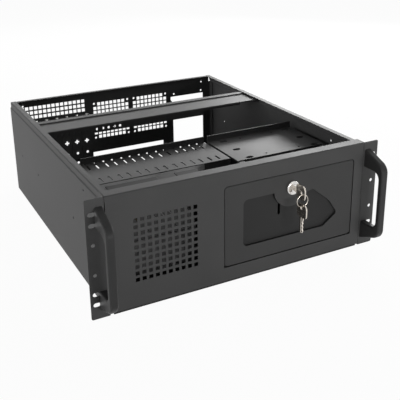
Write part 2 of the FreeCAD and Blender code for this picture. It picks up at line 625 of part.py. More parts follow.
under_top = CAGE_TOP - 2 * SHEET
left_path = [(BAY_TOP_LEFT, under_top), (BAY_LEFT, under_top)]
left_path += [(BAY_LEFT, SHEET), (BAY_LEFT + BAY_FOOT, SHEET)]
right_path = [(BAY_RIGHT - BAY_FOOT, SHEET), (BAY_RIGHT, SHEET)]
right_path += [(BAY_RIGHT, under_top), (BAY_TOP_RIGHT, under_top)]
bay_tools = []
for level in range(3):
    z = BAY_FLOOR + BAY_PITCH * (level + 0.5)
    for y in (75.0, 154.0):
        bay_tools.append(slot(y, z, 14.0, 3.6, "yz", BAY_LEFT - 5, BAY_RIGHT + 5))
exported("bay_cage_left", folded(left_path, "xz", BAY_FRONT, CAGE_REAR - 2).cut(bay_tools))
exported("bay_cage_right", folded(right_path, "xz", BAY_FRONT, CAGE_REAR - 2).cut(bay_tools))

top = box(BAY_TOP_LEFT, BAY_TOP_RIGHT, BAY_TOP_FRONT, CAGE_REAR - 2, CAGE_TOP - SHEET, CAGE_TOP)
top = top.fuse(lip(BAY_TOP_LEFT, BAY_TOP_RIGHT))
top_tools = []
for x in (63.0, 188.5):
    for y in (94.0, 135.0, 179.0):
        top_tools.append(slot(x, y, 13.5, 8.0, "xy", CAGE_TOP - 3, CAGE_TOP + 1))
for x in (96.0, 159.0):
    for y in (97.0, 180.0):
        top_tools.append(rod(2.0, CAGE_TOP - 3, CAGE_TOP + 1, x=x, y=y))
exported("bay_cage_top", top.cut(top_tools))

floor_left = BAY_LEFT + SHEET
floor_right = BAY_RIGHT - SHEET
floor_path = [(floor_left, BAY_FLOOR - 12), (floor_left, BAY_FLOOR)]
floor_path += [(floor_right, BAY_FLOOR), (floor_right, BAY_FLOOR - 12)]
exported("bay_cage_floor", folded(floor_path[::-1], "xz", BAY_FRONT, CAGE_REAR - 2))

COVER_GAP = 0.3


def bay_cover(level):
    left = floor_left + COVER_GAP
    right = floor_right - COVER_GAP
    bottom = BAY_FLOOR + BAY_PITCH * level + COVER_GAP
    path = [(left, BAY_FRONT + 18), (left, BAY_FRONT - 1.5)]
    path += [(right, BAY_FRONT - 1.5), (right, BAY_FRONT + 18)]
    cover = folded(path, "xy", bottom, bottom + BAY_PITCH - 2 * COVER_GAP)
    middle = bottom + BAY_PITCH / 2
    clips = []
    for x in (left, right):
        x0 = x - COVER_GAP
        clips.append(box(x0, x + COVER_GAP, BAY_FRONT + 10, BAY_FRONT + 16, middle - 6, middle + 6))
    return cover.fuse(clips).common(box(floor_left, floor_right, 0, 100, 0, CAGE_TOP))


for level in range(3):
    exported("bay_cover_" + str(level + 1), bay_cover(level))

# ---- switch panel beside the bays ----------------------------------------------------------
SWITCH_LEFT = -40.0
SWITCH_RIGHT = 44.0
SWITCH_BOTTOM = 34.0
SWITCH_TOP = CAGE_TOP - 6
BUTTON_X = -8.0
POWER_Z = 112.0
RESET_Z = 84.0
LED_X = 18.0
LED_Z = (112.0, 100.0)
CAP_STAND = 3.5                # how far a button stands out of the plate
TRAVEL = 2.5
RUN = 0.15                     # clearance round a button

switch_path = [(SWITCH_RIGHT, BAY_FRONT), (SWITCH_LEFT, BAY_FRONT)]
switch_path += [(SWITCH_LEFT, 2 * SHEET), (SWITCH_LEFT - 12, 2 * SHEET)]
switch_panel = folded(switch_path, "xy", SWITCH_BOTTOM, SWITCH_TOP)
PLATE_FRONT = BAY_FRONT - SHEET
BUTTONS = {"power_button": (POWER_Z, 6.0), "reset_button": (RESET_Z, 3.0)}
COLLAR = 1.5                   # how far the hidden collar overlaps the plate
POCKET_END = 36.5

switch_tools = []
pockets = []
for node, (z, radius) in BUTTONS.items():
    switch_tools.append(rod(radius + RUN, PLATE_FRONT - 1, BAY_FRONT + 1, x=BUTTON_X, z=z))
    pockets.append(rod(radius + COLLAR + 0.3, BAY_FRONT - 1, POCKET_END, x=BUTTON_X, z=z))
    button = rod(radius, PLATE_FRONT - CAP_STAND, BAY_FRONT + 2, x=BUTTON_X, z=z)
    front_rim = [e for e in button.Edges if e.Closed and e.CenterOfMass.y < PLATE_FRONT - CAP_STAND + 0.1]
    button = button.makeChamfer(0.8, front_rim)
    button = button.fuse(rod(radius + COLLAR, BAY_FRONT, BAY_FRONT + 2, x=BUTTON_X, z=z))
    exported(node, button)
leds = []
for z in LED_Z:
    switch_tools.append(rod(2.5, PLATE_FRONT - 1, BAY_FRONT + 1, x=LED_X, z=z))
    led = rod(2.5, PLATE_FRONT - 2.5, BAY_FRONT + 4, x=LED_X, z=z)
    tip = [e for e in led.Edges if e.Closed and e.CenterOfMass.y < PLATE_FRONT - 2]
    led = led.makeChamfer(1.2, tip)
    leds.append(led.fuse(rod(3.0, BAY_FRONT, BAY_FRONT + 1.2, x=LED_X, z=z)))
exported("switch_panel", switch_panel.cut(switch_tools))
exported("status_leds", Part.makeCompound(leds))
holder = prism(rectangle(BUTTON_X - 12, BUTTON_X + 12, 74, 124), 3, "xz", BAY_FRONT, POCKET_END + 3)
exported("switch_holder", holder.cut(pockets))

# ---- fan bracket behind the vents ----------------------------------------------------------
FAN_LEFT = -198.0
FAN_RIGHT = -56.0
FAN_PLATE = 24.0               # rear face of the plate
FAN_TOP = 170.0
FAN_SHELF = 46.0               # rear edge of the top flange
FAN_MOUTH = 57.0
FAN_PATTERN = 105.0            # 120 mm fan
fan_path = [(FAN_LEFT - 12, SHEET), (FAN_LEFT, SHEET), (FAN_LEFT, FAN_PLATE - SHEET)]
fan_path += [(FAN_RIGHT, FAN_PLATE - SHEET), (FAN_RIGHT, 2 * SHEET), (FAN_RIGHT - 12, 2 * SHEET)]
fan_bracket = folded(fan_path, "xy", 8, FAN_TOP - 4)
top_fold = [(FAN_SHELF, FAN_TOP), (FAN_PLATE - SHEET, FAN_TOP), (FAN_PLATE - SHEET, FAN_TOP - 12)]
fan_bracket = fan_bracket.fuse(folded(top_fold, "yz", FAN_LEFT + 3, FAN_RIGHT - 3))
fan_tools = [box(VENT_X + 6, VENT_X + 35, 32, FAN_SHELF + 1, FAN_TOP - 3, FAN_TOP + 1)]
fan_tools.append(rod(FAN_MOUTH, FAN_PLATE - 3, FAN_PLATE + 1, x=VENT_X, z=MID_Z))
for x in steps(VENT_X, FAN_PATTERN, 2):
    for z in steps(MID_Z, FAN_PATTERN, 2):
        fan_tools.append(rod(2.2, FAN_PLATE - 3, FAN_PLATE + 1, x=x, z=z))
exported("fan_bracket", fan_bracket.cut(fan_tools))

# ---- board standoffs -----------------------------------------------------------------------
INCH = 25.4
BOARD_RIGHT = 103.0
BOARD_REAR = SLOT_WALL - 0.8
BOARD_COLUMNS = (0.65, 6.85, 11.75)
BOARD_ROWS = (0.4, 6.5, 9.35)
STANDOFF = 6.4
standoffs = []
for across in BOARD_COLUMNS:
    for along in BOARD_ROWS:
        x = BOARD_RIGHT - across * INCH
        y = BOARD_REAR - along * INCH
        corners = []
        for i in range(6):
            angle = math.radians(60 * i)
            corners.append((x + 3.0 * math.cos(angle), y + 3.0 * math.sin(angle)))
        post = prism(corners, 0, "xy", SHEET, SHEET + STANDOFF)
        standoffs.append(post.cut(rod(1.4, SHEET - 1, SHEET + STANDOFF + 1, x=x, y=y)))
exported("board_standoffs", Part.makeCompound(standoffs))
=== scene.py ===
# %% [markdown]
# An empty rackmount case is mostly folded sheet steel, so nearly all of its form is already in
# the construction model. What is left for Blender is the finish: powder coat, plated screws,
# a chrome lock, and the small things that a punch or a cutter leaves behind.
# We load the construction model first.

# %% Load the construction model
import bmesh
import bpy
import math
from mathutils import Matrix, Vector


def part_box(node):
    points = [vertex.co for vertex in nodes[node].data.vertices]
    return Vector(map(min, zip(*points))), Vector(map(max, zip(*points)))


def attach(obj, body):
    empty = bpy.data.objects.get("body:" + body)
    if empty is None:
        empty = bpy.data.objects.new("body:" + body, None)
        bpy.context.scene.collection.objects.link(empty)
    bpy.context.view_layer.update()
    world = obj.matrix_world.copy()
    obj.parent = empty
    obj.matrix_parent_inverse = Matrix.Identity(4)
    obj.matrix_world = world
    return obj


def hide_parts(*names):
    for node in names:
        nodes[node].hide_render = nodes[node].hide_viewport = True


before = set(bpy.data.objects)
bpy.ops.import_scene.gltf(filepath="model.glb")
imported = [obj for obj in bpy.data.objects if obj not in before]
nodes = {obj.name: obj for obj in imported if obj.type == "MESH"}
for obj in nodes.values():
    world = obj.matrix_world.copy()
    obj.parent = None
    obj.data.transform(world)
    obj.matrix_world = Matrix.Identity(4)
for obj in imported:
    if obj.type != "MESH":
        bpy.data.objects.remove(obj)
scene = bpy.context.scene
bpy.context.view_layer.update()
MM = 0.001

# %% [markdown]
# The case is seen from the front, a little to the left and from above, the way it would stand
# on a bench. The camera stands about a metre and a quarter away, and a small lens shift sets
# the case in the frame. The camera is turned by its own three directions, so that its roll is
# stated as an angle too.

# %% Camera
AZIMUTH = math.radians(27.78)
ELEVATION = math.radians(19.19)
ROLL = math.radians(-0.55)
CAMERA_PLACE = Vector((-0.4842, -1.0298, 0.5423))
SENSOR_WIDTH = 36.0
FOCAL_LENGTH = 63.3
SHIFT_ACROSS = -0.015
SHIFT_UP = -0.15

camera_data = bpy.data.cameras.new("camera")
camera_data.sensor_width = SENSOR_WIDTH
camera_data.lens = FOCAL_LENGTH
camera_data.shift_x = SHIFT_ACROSS
camera_data.shift_y = SHIFT_UP
camera = bpy.data.objects.new("camera", camera_data)
scene.collection.objects.link(camera)
behind = Vector((
    -math.sin(AZIMUTH) * math.cos(ELEVATION),
    -math.cos(AZIMUTH) * math.cos(ELEVATION),
    math.sin(ELEVATION),
))
right = Vector((math.cos(AZIMUTH), -math.sin(AZIMUTH), 0.0))
up = behind.cross(right)
rolled_right = right * math.cos(ROLL) + up * math.sin(ROLL)
rolled_up = up * math.cos(ROLL) - right * math.sin(ROLL)
turn = Matrix((rolled_right, rolled_up, behind)).transposed().to_4x4()
camera.matrix_world = Matrix.Translation(CAMERA_PLACE) @ turn
scene.camera = camera
scene.view_settings.view_transform = "Standard"
print("camera", [round(v, 3) for v in camera.location])

# %% [markdown]
# The world is only a faint fill for matt surfaces, but the lens and every glossy or clear
# surface see it white, as they would see a studio's paper backdrop. Light Path tells the kinds
# of ray apart: the largest of its three answers is 1 for a ray that should meet white.

# %% World
AMBIENT = 0.045

world = bpy.data.worlds.new("studio")
scene.world = world
world.use_nodes = True
sky = world.node_tree
sky.nodes.clear()
sky_path = sky.nodes.new("ShaderNodeLightPath")
seen = sky.nodes.new("ShaderNodeMath")
seen.operation = "MAXIMUM"
seen_through = sky.nodes.new("ShaderNodeMath")
seen_through.operation = "MAXIMUM"
fill_level = sky.nodes.new("ShaderNodeMapRange")
fill_level.inputs["To Min"].default_value = AMBIENT
fill_level.inputs["To Max"].default_value = 1.0
paper = sky.nodes.new("ShaderNodeBackground")
paper.inputs["Color"].default_value = (1.0, 1.0, 1.0, 1.0)
sky_out = sky.nodes.new("ShaderNodeOutputWorld")
sky.links.new(sky_path.outputs["Is Camera Ray"], seen.inputs[0])
sky.links.new(sky_path.outputs["Is Glossy Ray"], seen.inputs[1])
sky.links.new(seen.outputs[0], seen_through.inputs[0])
sky.links.new(sky_path.outputs["Is Transmission Ray"], seen_through.inputs[1])
sky.links.new(seen_through.outputs[0], fill_level.inputs["Value"])
sky.links.new(fill_level.outputs["Result"], paper.inputs["Strength"])
sky.links.new(paper.outputs["Background"], sky_out.inputs["Surface"])
print("fill light", AMBIENT, "of the backdrop's white")

# %% [markdown]
# Five soft lamps light the case. The two on the right and the one behind stand higher than it,
# so they rake over the tops of the sheets and leave the inside in shade. The one on the left
# and the one low in front open up the side wall and the front panel. All of them point at one
# place near the middle of the case, so a lamp's place alone says where its light comes from.

# %% Lamps
CASE_MIDDLE = (0, 0.05, 0.1)
LAMPS = (
    # name, place, width, height, watts
    ("right", (1.9, 0.3, 0.7), 1.2, 0.5, 26.0),
    ("right_behind", (1.4, 1.4, 0.7), 0.9, 0.4, 32.0),
    ("behind", (0.2, 2.0, 0.75), 1.2, 0.5, 7.0),
    ("left", (-1.9, 0.0, 0.3), 0.9, 0.4, 12.0),
    ("low_front", (0.2, -2.0, 0.12), 1.2, 0.2, 12.0),
)
for name, place, width, height, watts in LAMPS:
    lamp_data = bpy.data.lights.new(name, "AREA")
    lamp_data.shape = "RECTANGLE"
    lamp_data.size = width
    lamp_data.size_y = height
    lamp_data.energy = watts
    lamp = bpy.data.objects.new(name, lamp_data)
    scene.collection.objects.link(lamp)
    lamp.location = place
    aim = Vector(CASE_MIDDLE) - Vector(place)
    lamp.rotation_euler = aim.to_track_quat("-Z", "Y").to_euler()
print(len(LAMPS), "lamps hung")

# %% [markdown]
# The floor is a sheet of white paper. Its colour for the lens is mixed from a plain matt white,
# which takes the soft shadow under the case, and a white glow that keeps the rest of the paper
# as bright as the backdrop behind it.

# %% Floor
FLOOR_HALF = 6.0
FLOOR_DROP = 0.0002
PAPER_WHITE = 0.82
SHADOW_SHARE = 0.035

floor_mesh = bpy.data.meshes.new("floor")
shape = bmesh.new()
bmesh.ops.create_grid(shape, x_segments=1, y_segments=1, size=FLOOR_HALF)
shape.to_mesh(floor_mesh)
shape.free()
floor = bpy.data.objects.new("floor", floor_mesh)
scene.collection.objects.link(floor)
floor.location = (0, 0, -FLOOR_DROP)

paper_floor = bpy.data.materials.new("paper_floor")
paper_floor.use_nodes = True
tree = paper_floor.node_tree
tree.nodes.clear()
matt = tree.nodes.new("ShaderNodeBsdfDiffuse")
matt.inputs["Color"].default_value = (PAPER_WHITE, PAPER_WHITE, PAPER_WHITE, 1)
glow = tree.nodes.new("ShaderNodeEmission")
glow.inputs["Strength"].default_value = 1.0
path = tree.nodes.new("ShaderNodeLightPath")
glossy_or_camera = tree.nodes.new("ShaderNodeMath")
glossy_or_camera.operation = "MAXIMUM"
share = tree.nodes.new("ShaderNodeMath")
share.operation = "MULTIPLY"
share.inputs[1].default_value = 1.0 - SHADOW_SHARE
mix = tree.nodes.new("ShaderNodeMixShader")
out = tree.nodes.new("ShaderNodeOutputMaterial")
tree.links.new(path.outputs["Is Camera Ray"], glossy_or_camera.inputs[0])
tree.links.new(path.outputs["Is Glossy Ray"], glossy_or_camera.inputs[1])
tree.links.new(glossy_or_camera.outputs[0], share.inputs[0])
tree.links.new(share.outputs[0], mix.inputs["Fac"])
tree.links.new(matt.outputs[0], mix.inputs[1])
tree.links.new(glow.outputs[0], mix.inputs[2])
tree.links.new(mix.outputs[0], out.inputs["Surface"])
floor.data.materials.append(paper_floor)
print("paper floor", 2 * FLOOR_HALF, "metres wide")

# %% [markdown]
# Every finish here starts from noise that is read in Object coordinates, which are metres, so
# a grain has the same size on every sheet. The noise gathers round its middle, so the helpers
# stretch only the part between 0.3 and 0.7 to the wanted range.

# %% Helpers for the finishes
NOISE_LOW = 0.3
NOISE_HIGH = 0.7


def new_material(name):
    material = bpy.data.materials.new(name)
    material.use_nodes = True
    shader = material.node_tree.nodes["Principled BSDF"]
    return material, material.node_tree, shader


def noise(tree, coordinates, scale, detail):
    node = tree.nodes.new("ShaderNodeTexNoise")
    node.inputs["Scale"].default_value = scale
    node.inputs["Detail"].default_value = detail
    tree.links.new(coordinates, node.inputs["Vector"])
    return node.outputs["Fac"]


def spread(tree, source, low, high):
    node = tree.nodes.new("ShaderNodeMapRange")
    node.inputs["From Min"].default_value = NOISE_LOW
    node.inputs["From Max"].default_value = NOISE_HIGH
    node.inputs["To Min"].default_value = low
    node.inputs["To Max"].default_value = high
    tree.links.new(source, node.inputs["Value"])
    return node.outputs["Result"]


def colour_drift(tree, source, dark, light):
    ramp = tree.nodes.new("ShaderNodeValToRGB")
    ramp.color_ramp.elements[0].position = NOISE_LOW
    ramp.color_ramp.elements[0].color = (*dark, 1)
    ramp.color_ramp.elements[1].position = NOISE_HIGH
    ramp.color_ramp.elements[1].color = (*light, 1)
    tree.links.new(source, ramp.inputs["Fac"])
    return ramp.outputs["Color"]


def bumps(tree, source, height, shader):
    node = tree.nodes.new("ShaderNodeBump")
    node.inputs["Strength"].default_value = 1.0
    node.inputs["Distance"].default_value = height
    tree.links.new(source, node.inputs["Height"])
    tree.links.new(node.outputs["Normal"], shader.inputs["Normal"])


print("helpers ready")

# %% [markdown]
# Powder coat is sprayed on dry and baked, and it sets with a fine skin like orange peel. Three
# things make it: a base colour that drifts slightly over a hand's width, a roughness that
# drifts with it, and a very small bump a millimetre across.

# %% Painted steel
SHEEN_LEVEL = 0.1
CLOUD_SCALE = 9.0
PEEL_SCALE = 1100.0
PAINT_DARKER = 0.93
PAINT_LIGHTER = 1.07
ROUGH_DRIFT = 0.03
ORANGE_PEEL = 0.00004
FINE_PEEL = 0.00002


def powder_coat(name, grey, rough, peel=ORANGE_PEEL):
    material, tree, shader = new_material(name)
    coordinates = tree.nodes.new("ShaderNodeTexCoord").outputs["Object"]
    clouds = noise(tree, coordinates, CLOUD_SCALE, 3.0)
    drift = colour_drift(tree, clouds, (grey * PAINT_DARKER,) * 3, (grey * PAINT_LIGHTER,) * 3)
    tree.links.new(drift, shader.inputs["Base Color"])
    level = spread(tree, clouds, rough - ROUGH_DRIFT, rough + ROUGH_DRIFT)
    tree.links.new(level, shader.inputs["Roughness"])
    skin = noise(tree, coordinates, PEEL_SCALE, 1.0)
    bumps(tree, skin, peel, shader)
    shader.inputs["Specular IOR Level"].default_value = SHEEN_LEVEL
    return material


case_paint = powder_coat("case_paint", 0.104, 0.54)
door_paint = powder_coat("door_paint", 0.084, 0.54)
# Painted shade: the fan bracket and the drive cage shelf get a far darker coat that stands in for
# the shade inside the case.
inner_painted_shade = powder_coat("inner_painted_shade", 0.03, 0.65)
handle_coat = powder_coat("handle_coat", 0.06, 0.4, FINE_PEEL)
print("four coats of paint mixed")

# %% [markdown]
# The door's paint is made darker over its sunk field than on its face. The field lies a little
# behind the face, so the depth of a point, its Object Y, tells the two apart, and one smooth
# step between them does the rest.

# %% Darker recess
RECESS_STEP = 0.0012
RECESS_DEPTH = 0.0018
RECESS_SHARE = 0.55


def darken_behind(material, start, end, share):
    tree = material.node_tree
    shader = tree.nodes["Principled BSDF"]
    paint = shader.inputs["Base Color"].links[0].from_socket
    coordinates = tree.nodes.new("ShaderNodeTexCoord")
    axes = tree.nodes.new("ShaderNodeSeparateXYZ")
    depth = tree.nodes.new("ShaderNodeMapRange")
    depth.inputs["From Min"].default_value = start
    depth.inputs["From Max"].default_value = end
    depth.inputs["To Min"].default_value = 1.0
    depth.inputs["To Max"].default_value = share
    tint = tree.nodes.new("ShaderNodeVectorMath")
    tint.operation = "SCALE"
    tree.links.new(coordinates.outputs["Object"], axes.inputs["Vector"])
    tree.links.new(axes.outputs["Y"], depth.inputs["Value"])
    tree.links.new(paint, tint.inputs[0])
    tree.links.new(depth.outputs["Result"], tint.inputs["Scale"])
    tree.links.new(tint.outputs["Vector"], shader.inputs["Base Color"])


door_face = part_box("front_door")[0].y
darken_behind(door_paint, door_face + RECESS_STEP, door_face + RECESS_DEPTH, RECESS_SHARE)
print("recess starts", round(RECESS_DEPTH * 1000, 1), "mm behind the face")

# %% [markdown]
# The bright parts are of four kinds. The lock is polished chrome, the keys are a duller nickel,
# the screws are zinc plated, and the board posts are turned brass. Bare metal shows mostly
# reflections, so beside its tint what matters is how sharp they are and which way the fine
# scratches run.

# %% Metals
METAL_DARKER = 0.82
ROUGH_LEAST = 0.7
ROUGH_MOST = 1.3


def metal(name, colour, rough, grain, stretch):
    material, tree, shader = new_material(name)
    shader.inputs["Metallic"].default_value = 1.0
    coordinates = tree.nodes.new("ShaderNodeTexCoord")
    mapping = tree.nodes.new("ShaderNodeMapping")
    mapping.inputs["Scale"].default_value = stretch
    tree.links.new(coordinates.outputs["Object"], mapping.inputs["Vector"])
    scratches = noise(tree, mapping.outputs["Vector"], grain, 3.0)
    darker = tuple(c * METAL_DARKER for c in colour)
    tree.links.new(colour_drift(tree, scratches, darker, colour), shader.inputs["Base Color"])
    level = spread(tree, scratches, rough * ROUGH_LEAST, rough * ROUGH_MOST)
    tree.links.new(level, shader.inputs["Roughness"])
    return material


chrome = metal("chrome", (0.82, 0.8, 0.78), 0.1, 300.0, (1, 1, 1))
nickel = metal("pocket_worn_nickel", (0.66, 0.61, 0.55), 0.24, 700.0, (1, 1, 0.15))
zinc = metal("zinc_plate", (0.64, 0.64, 0.62), 0.3, 500.0, (1, 1, 1))
brass = metal("turned_brass", (0.72, 0.56, 0.28), 0.25, 900.0, (1, 1, 3))
print("four metals ready")

# %% [markdown]
# The buttons and the switch holder are moulded in black plastic, and the lamps in a clear one.
# Moulded plastic has one colour all through and a skin much finer than paint, so a very small
# bump is enough. The lamps also let half of the light pass.

# %% Plastics
PLASTIC_SKIN_SCALE = 1800.0
PLASTIC_DARKER = 0.92
PLASTIC_SKIN = 0.00001


def plastic(name, colour, rough, clear=0.0):
    material, tree, shader = new_material(name)
    coordinates = tree.nodes.new("ShaderNodeTexCoord").outputs["Object"]
    skin = noise(tree, coordinates, PLASTIC_SKIN_SCALE, 1.0)
    darker = tuple(c * PLASTIC_DARKER for c in colour)
    tree.links.new(colour_drift(tree, skin, darker, colour), shader.inputs["Base Color"])
    shader.inputs["Roughness"].default_value = rough
    shader.inputs["Transmission Weight"].default_value = clear
    bumps(tree, skin, PLASTIC_SKIN, shader)
    return material


black_plastic = plastic("black_plastic", (0.022, 0.022, 0.023), 0.45)
lamp_plastic = plastic("lamp_plastic", (0.5, 0.56, 0.5), 0.15, 0.5)
print("two plastics ready")

# %% [markdown]
# Every node of the construction model gets its finish here. Most of the case is one paint; the
# list holds only what differs from it.

# %% Dress the nodes
FINISH = {
    "front_door": door_paint,
    # Painted shade: the bracket and the shelf are darker than the case's paint to stand for the
    # shade behind the front panel.
    "fan_bracket": inner_painted_shade,
    "drive_cage_shelf": inner_painted_shade,
    "left_handle": handle_coat,
    "right_handle": handle_coat,
    "lock_barrel": chrome,
    "lock_cylinder": chrome,
    "lock_nut": zinc,
    "lock_cam": zinc,
    "cam_screw": zinc,
    "slot_cover_screws": zinc,
    "handle_screws": zinc,
    "door_hinge_pins": zinc,
    "lock_key": nickel,
    "spare_key": nickel,
    "key_ring": nickel,
    "power_button": black_plastic,
    "reset_button": black_plastic,
    "switch_holder": black_plastic,
    "status_leds": lamp_plastic,
    "board_standoffs": brass,
}
for name, node in nodes.items():
    node.data.materials.clear()
    node.data.materials.append(FINISH.get(name, case_paint))
print(len(nodes), "nodes dressed")

# %% [markdown]
# The small turned and stamped parts are made again here, because their finer shape would be too
# heavy for the construction model. Each new piece is shaped with bmesh operators, gets its
# normals turned outwards, rides on the body of the part that it stands for, and hides that part.

# %% From a shape to a finished piece
WELD = 0.000002
SHARP_ANGLE = math.radians(32)


def finished(name, shape, material, body, stands_for):
    bmesh.ops.remove_doubles(shape, verts=shape.verts, dist=WELD)
    bmesh.ops.recalc_face_normals(shape, faces=shape.faces)
    mesh = bpy.data.meshes.new(name)
    shape.to_mesh(mesh)
    shape.free()
    mesh.shade_smooth()
    mesh.set_sharp_from_angle(angle=SHARP_ANGLE)
    mesh.materials.append(material)
    piece = bpy.data.objects.new(name, mesh)
    scene.collection.objects.link(piece)
    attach(piece, body)
    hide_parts(stands_for)
    print(name, len(mesh.polygons), "faces")
    return piece


def ring_edges(shape):
    return [edge for edge in shape.edges if edge.is_boundary]


def only(kind, drawn):
    """The vertices, edges or faces among what an operator gave back."""
    return [item for item in drawn["geom"] if isinstance(item, kind)]


print("each piece is welded at", WELD * 1e6, "micrometres")

# %% [markdown]
# A split ring is spring wire wound twice round. It is one small circle spun through two full
# turns, with a little travel along the axis at each step. The travel over both turns adds up to
# one thickness of the wire, so the turns lie half inside each other; a real ring's lie side by
# side, which would take twice that travel. The two cut ends are closed afterwards.

# %% Split ring
WIRE_RADIUS = 0.5 * MM
WIRE_SIDES = 10
WIRE_INSET = 0.9 * MM
RING_TURNS = 2
RING_STEPS = 112

ring_low, ring_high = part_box("key_ring")
ring_middle = (ring_low + ring_high) / 2
wire_line = (ring_high.x - ring_low.x) / 2 - WIRE_INSET
wire_start = ring_middle + Vector((wire_line, -WIRE_RADIUS, 0))
travel = 2 * WIRE_RADIUS / RING_STEPS
shape = bmesh.new()
bmesh.ops.create_circle(
    shape, segments=WIRE_SIDES, radius=WIRE_RADIUS, matrix=Matrix.Translation(wire_start)
)
bmesh.ops.spin(
    shape, geom=shape.verts[:] + shape.edges[:], cent=ring_middle, axis=(0, 1, 0),
    dvec=(0, travel, 0), angle=math.tau * RING_TURNS, steps=RING_STEPS, use_merge=False,
    use_duplicate=False,
)
bmesh.ops.holes_fill(shape, edges=ring_edges(shape), sides=0)
finished("split_ring", shape, nickel, "ring", "key_ring")

# %% [markdown]
# A flat key is stamped from sheet, and its broad bow has a raised rim. The bow is the space
# between a rounded outline and the eye, bridged and given its thickness, and its field is sunk
# by an inset on each side. Its corner radii are taken a thousandth short.

# %% The bow of a key
KEY_HALF = 1.1
BOW_HALF = 11.5
BOW_BACK = -6.5
BOW_NECK = 15.0
BACK_CORNER = 7.0
NECK_CORNER = 5.0
CORNER_SHARE = 0.999
EYE_RADIUS = 3.0
RIM_WIDTH = 1.0
FIELD_DEPTH = 0.3


def stamp_bow(shape):
    outline = [
        (BOW_BACK, -BOW_HALF), (BOW_NECK, -BOW_HALF), (BOW_NECK, BOW_HALF), (BOW_BACK, BOW_HALF)
    ]
    corners = [shape.verts.new((u * MM, v * MM, 0)) for u, v in outline]
    shape.faces.new(corners)
    back = (corners[0], corners[3])
    neck = (corners[1], corners[2])
    for radius, pair in ((BACK_CORNER, back), (NECK_CORNER, neck)):
        bmesh.ops.bevel(
            shape, geom=list(pair), offset=radius * MM * CORNER_SHARE, segments=7,
            profile=0.5, affect="VERTICES", material=-1, offset_type="OFFSET",
        )
    bmesh.ops.delete(shape, geom=shape.faces[:], context="FACES_ONLY")
    bmesh.ops.create_circle(shape, segments=32, radius=EYE_RADIUS * MM)
    bmesh.ops.bridge_loops(shape, edges=shape.edges[:])
    bmesh.ops.translate(shape, verts=shape.verts, vec=(0, 0, -KEY_HALF * MM))
    raised = bmesh.ops.extrude_face_region(shape, geom=shape.faces[:])
    upper = only(bmesh.types.BMVert, raised)
    bmesh.ops.translate(shape, verts=upper, vec=(0, 0, 2 * KEY_HALF * MM))
    bmesh.ops.recalc_face_normals(shape, faces=shape.faces)
    for side in (-1, 1):
        field = [face for face in shape.faces if face.normal.z * side > 0.9]
        bmesh.ops.inset_region(
            shape, faces=field, thickness=RIM_WIDTH * MM, depth=-FIELD_DEPTH * MM
        )


print("bow", 2 * BOW_HALF, "mm broad")

# %% [markdown]
# The blade is milled with a groove on each side and then cut to its own code. It is its
# cross-section, pulled out step by step from just inside the bow, and the code is one edge
# moved inwards at some of the steps. The last step narrows to the tip.

# %% The blade of a key
BLADE_HALF = 4.0
BLADE_EDGE = 1.9
BLADE_ROOT = 0.5
TIP_SHARE = 0.4
BLADE_SECTION = (
    (-4.0, -1.1), (-1.7, -1.1), (-1.3, -0.55), (0.1, -0.55), (0.5, -1.1), (4.0, -1.1),
    (4.0, 1.1), (1.7, 1.1), (1.3, 0.55), (-0.5, 0.55), (-0.9, 1.1), (-4.0, 1.1),
)
CODE = (0, 0, 0, 1.3, 1.3, 0.5, 1.9, 1.9, 0.9, 1.5, 1.5, 0.4, 1.1, 0.0)


def mill_blade(shape, blade_end):
    last = len(CODE) - 1
    step = (blade_end - BOW_NECK + BLADE_ROOT) / last
    start = (BOW_NECK - BLADE_ROOT) * MM
    loop = [shape.verts.new((start, v * MM, w * MM)) for v, w in BLADE_SECTION]
    edges = [shape.edges.new((a, b)) for a, b in zip(loop, loop[1:] + loop[:1])]
    shape.faces.new(loop)
    for number, cut in enumerate(CODE[1:], 1):
        drawn = bmesh.ops.extrude_edge_only(shape, edges=edges)
        loop = only(bmesh.types.BMVert, drawn)
        edges = only(bmesh.types.BMEdge, drawn)
        edges = [edge for edge in edges if edge.verts[0] in loop and edge.verts[1] in loop]
        for vert in loop:
            vert.co.x += step * MM
            if vert.co.y < -BLADE_EDGE * MM:
                vert.co.y = (cut - BLADE_HALF) * MM
            if number == last:
                vert.co.y *= TIP_SHARE


print("blade is cut at", len(CODE), "places")

# %% [markdown]
# Both keys use the same bow and blade, each laid in its own direction: one points into the
# lock, the other hangs down. Handled edges are never quite sharp, so a narrow bevel finishes
# them.

# %% Keys
WORN_EDGE = 0.12 * MM


def key_shape(blade_end, along, across):
    shape = bmesh.new()
    stamp_bow(shape)
    mill_blade(shape, blade_end)
    bmesh.ops.holes_fill(shape, edges=ring_edges(shape), sides=0)
    turn = Matrix((along, across, along.cross(across))).transposed().to_4x4()
    bmesh.ops.transform(shape, matrix=turn, verts=shape.verts)
    return shape


def crisp(piece, width):
    bevel = piece.modifiers.new("worn_edges", "BEVEL")
    bevel.width = width
    bevel.segments = 2
    bevel.limit_method = "ANGLE"
    bevel.angle_limit = math.radians(40)
    bevel.harden_normals = False


key_low, key_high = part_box("lock_key")
key_x = (key_low.x + key_high.x) / 2
key_z = (key_low.z + key_high.z) / 2
first_eye = Vector((key_x, key_low.y - BOW_BACK * MM, key_z))
first_end = (key_high.y - first_eye.y) / MM
shape = key_shape(first_end, Vector((0, 1, 0)), Vector((0, 0, 1)))
bmesh.ops.translate(shape, verts=shape.verts, vec=first_eye)
key = finished("key_in_the_lock", shape, nickel, "lock", "lock_key")
crisp(key, WORN_EDGE)

spare_low, spare_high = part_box("spare_key")
spare_y = (spare_low.y + spare_high.y) / 2
second_eye = Vector((key_x, spare_y, spare_high.z + BOW_BACK * MM))
second_end = (second_eye.z - spare_low.z) / MM
shape = key_shape(second_end, Vector((0, 0, -1)), Vector((0, 1, 0)))
bmesh.ops.translate(shape, verts=shape.verts, vec=second_eye)
key = finished("key_on_the_ring", shape, nickel, "second_key", "spare_key")
crisp(key, WORN_EDGE)

# %% [markdown]
# A lathe is a spin: half of a turned part's profile goes once round the axis. The profile is a
# chain of edges, and a full spin merges its last copy with the first.

